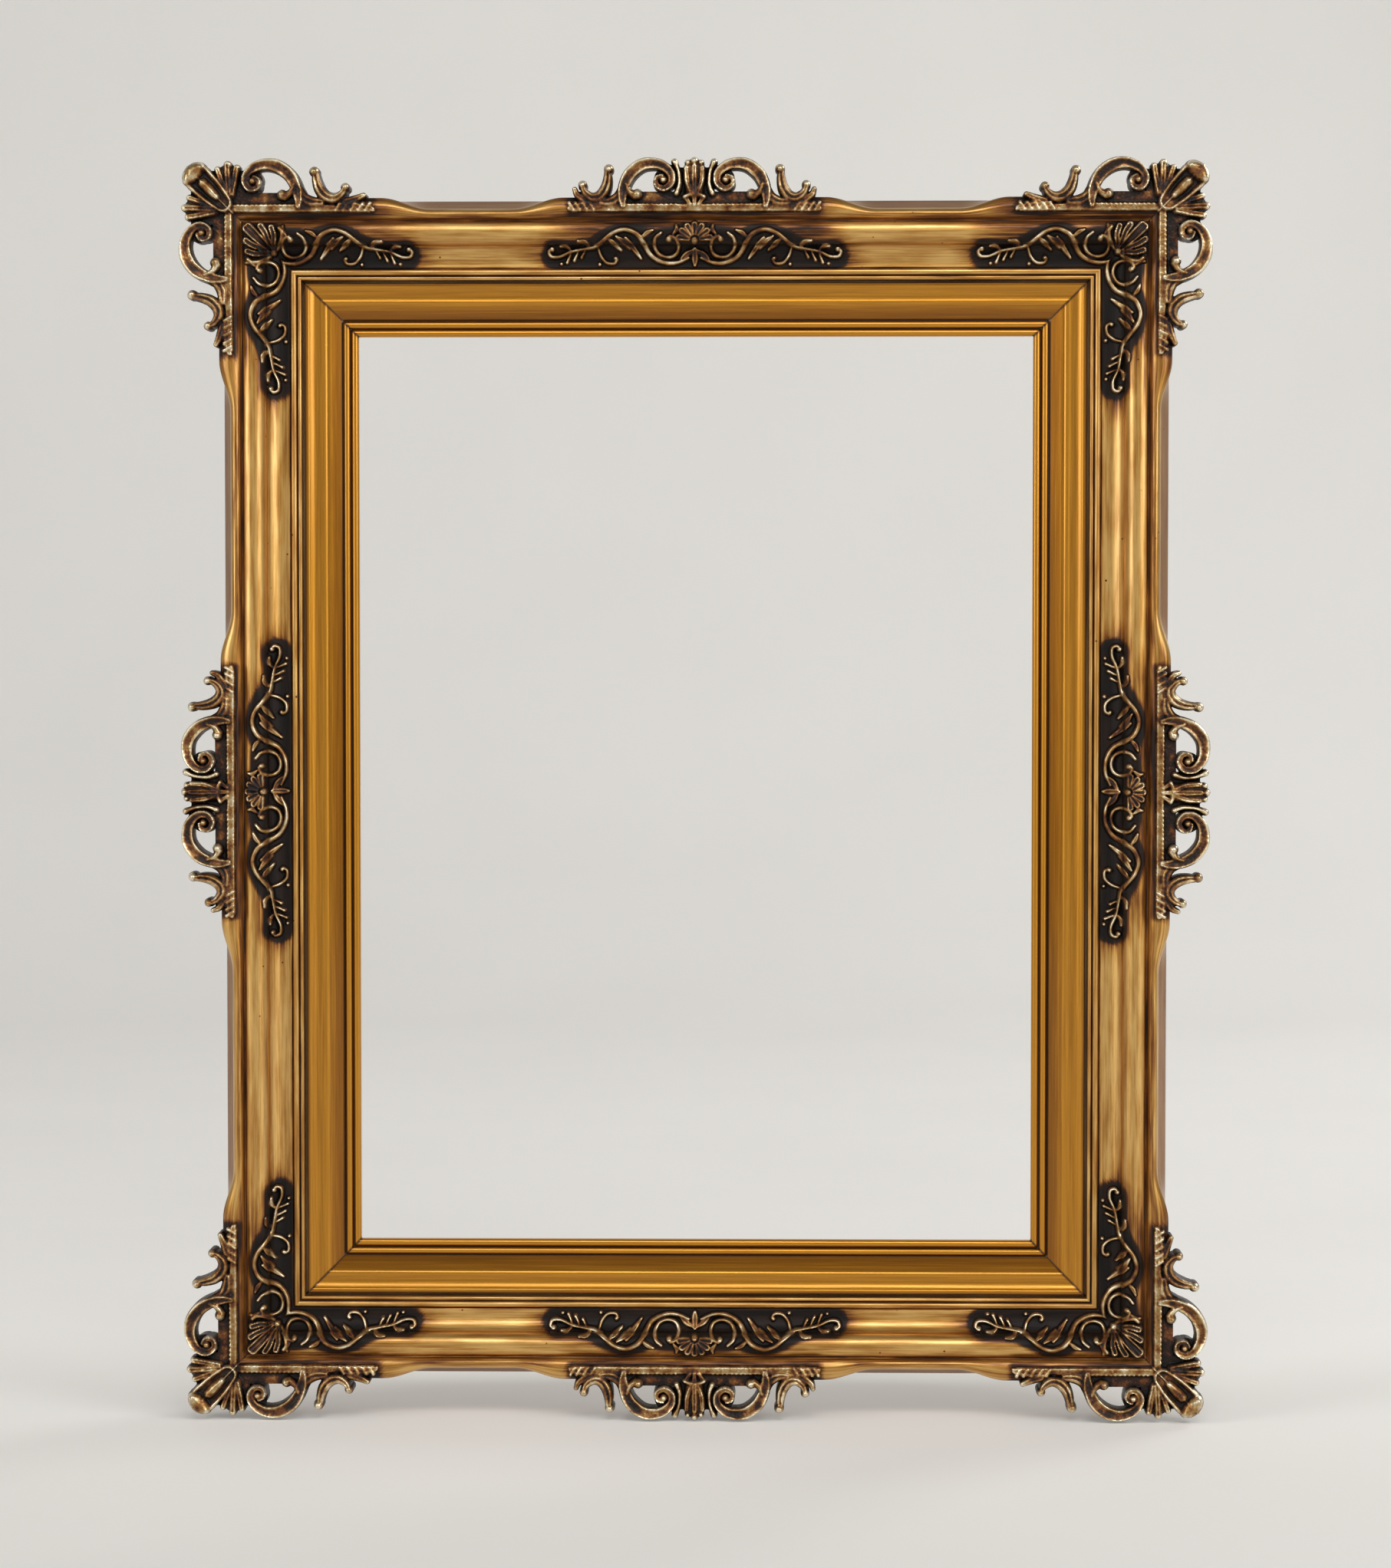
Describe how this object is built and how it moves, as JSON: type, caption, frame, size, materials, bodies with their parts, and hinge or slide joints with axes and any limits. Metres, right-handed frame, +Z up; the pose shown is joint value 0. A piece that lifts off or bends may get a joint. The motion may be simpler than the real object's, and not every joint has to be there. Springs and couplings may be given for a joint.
{
  "type": "picture frame",
  "caption": "Empty swept picture frame with mitred gilt moulding, inner slip, pierced crests and vine sprays, and turn buttons and ring hangers on its back.",
  "frame": {"origin": "middle of the top rail's back face, in the plane that lies against the wall", "axes": "+X to the right as seen from the front, +Y towards the wall, +Z up"},
  "size_m": [0.439, 0.0476, 0.539],
  "materials": {
    "gilt_moulding": "burnished gold leaf with a dark patina, over toned ground",
    "gilt_slip": "satin ochre gilding",
    "gilt_casting": "gilded cast composition, dark brown toning in the hollows",
    "brass": "stamped sheet, dulled",
    "steel": "zinc plated"
  },
  "bodies": {
    "frame": {"top_rail": "gilt_moulding", "left_rail": "gilt_moulding", "bottom_rail": "gilt_moulding", "right_rail": "gilt_moulding", "slip_top": "gilt_slip", "slip_left": "gilt_slip", "slip_bottom": "gilt_slip", "slip_right": "gilt_slip", "centre_crest_top": "gilt_casting", "centre_crest_left": "gilt_casting", "centre_crest_bottom": "gilt_casting", "centre_crest_right": "gilt_casting", "corner_crest_top_right": "gilt_casting", "corner_crest_top_left": "gilt_casting", "corner_crest_bottom_left": "gilt_casting", "corner_crest_bottom_right": "gilt_casting", "centre_spray_top": "gilt_casting", "centre_spray_left": "gilt_casting", "centre_spray_bottom": "gilt_casting", "centre_spray_right": "gilt_casting", "corner_spray_top_right": "gilt_casting", "corner_spray_top_left": "gilt_casting", "corner_spray_bottom_left": "gilt_casting", "corner_spray_bottom_right": "gilt_casting", "hanger_strap_left": "steel", "hanger_strap_right": "steel", "mitre_wedges": "steel", "slip_wedges": "steel", "slip_pins": "steel", "turn_button_screws": "steel", "hanger_screws": "steel"},
    "turn_button_1": {"turn_button_1": "brass"},
    "turn_button_2": {"turn_button_2": "brass"},
    "turn_button_3": {"turn_button_3": "brass"},
    "turn_button_4": {"turn_button_4": "brass"},
    "turn_button_5": {"turn_button_5": "brass"},
    "turn_button_6": {"turn_button_6": "brass"},
    "hanger_ring_left": {"hanger_ring_left": "steel"},
    "hanger_ring_right": {"hanger_ring_right": "steel"}
  },
  "joints": [
    {"name": "turn_button_1_pivot", "type": "hinge", "parent": "frame", "child": "turn_button_1", "pos_m": [0, -0.0027, -0.02625], "axis": [0, 1, 0], "range_deg": [-35, 215]},
    {"name": "turn_button_2_pivot", "type": "hinge", "parent": "frame", "child": "turn_button_2", "pos_m": [-0.16285, -0.0027, -0.3366], "axis": [0, 1, 0], "range_deg": [-35, 215]},
    {"name": "turn_button_3_pivot", "type": "hinge", "parent": "frame", "child": "turn_button_3", "pos_m": [-0.16285, -0.0027, -0.1416], "axis": [0, 1, 0], "range_deg": [-35, 215]},
    {"name": "turn_button_4_pivot", "type": "hinge", "parent": "frame", "child": "turn_button_4", "pos_m": [0, -0.0027, -0.45195], "axis": [0, 1, 0], "range_deg": [-35, 215]},
    {"name": "turn_button_5_pivot", "type": "hinge", "parent": "frame", "child": "turn_button_5", "pos_m": [0.16285, -0.0027, -0.1416], "axis": [0, 1, 0], "range_deg": [-35, 215]},
    {"name": "turn_button_6_pivot", "type": "hinge", "parent": "frame", "child": "turn_button_6", "pos_m": [0.16285, -0.0027, -0.3366], "axis": [0, 1, 0], "range_deg": [-35, 215]},
    {"name": "hanger_ring_left_swing", "type": "hinge", "parent": "frame", "child": "hanger_ring_left", "pos_m": [-0.18072, 0.00245, -0.1691], "axis": [0, 0, 1], "range_deg": [0, 170]},
    {"name": "hanger_ring_right_swing", "type": "hinge", "parent": "frame", "child": "hanger_ring_right", "pos_m": [0.18072, 0.00245, -0.1691], "axis": [0, 0, -1], "range_deg": [0, 170]}
  ]
}
